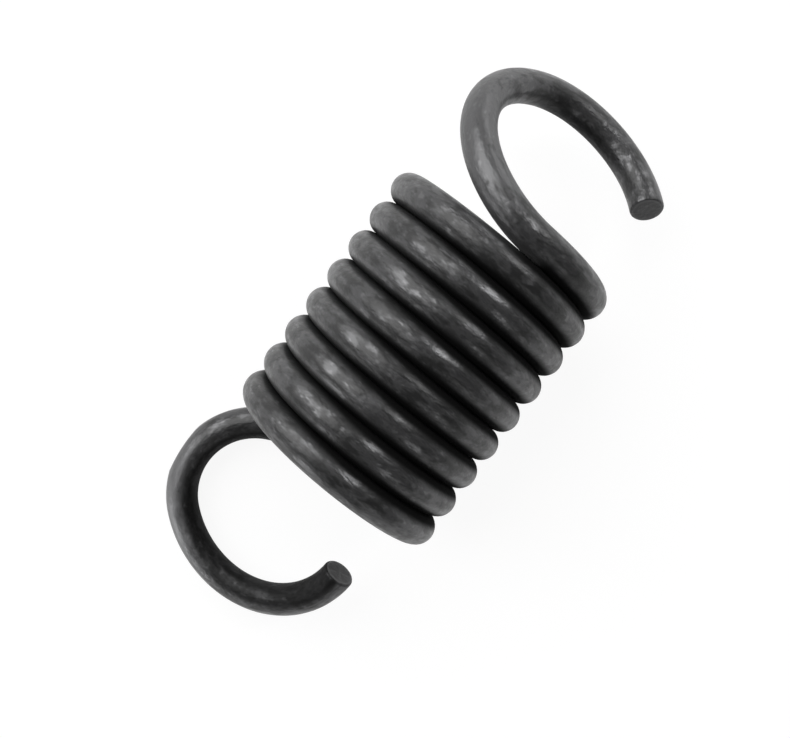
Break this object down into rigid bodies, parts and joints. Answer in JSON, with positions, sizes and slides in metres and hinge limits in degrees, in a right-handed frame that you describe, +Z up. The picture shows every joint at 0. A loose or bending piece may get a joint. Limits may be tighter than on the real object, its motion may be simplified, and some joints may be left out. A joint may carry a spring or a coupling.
{
  "type": "extension spring",
  "caption": "Close-wound steel extension spring with an open loop bent up from the coil at each end, for pulling two parts together.",
  "frame": {"origin": "under the middle of the spring, on the surface that it lies on", "axes": "+X along the coil's axis towards the upper hook, whose loop stands clear of the surface; +Z up; +Y towards the side that the loops bulge to"},
  "size_m": [0.0384, 0.0156, 0.014],
  "materials": {
    "phosphated_wire": "black phosphated and oiled spring steel, satin, softly mottled along the wire"
  },
  "bodies": {
    "root": {"spring": "phosphated_wire"}
  },
  "joints": []
}
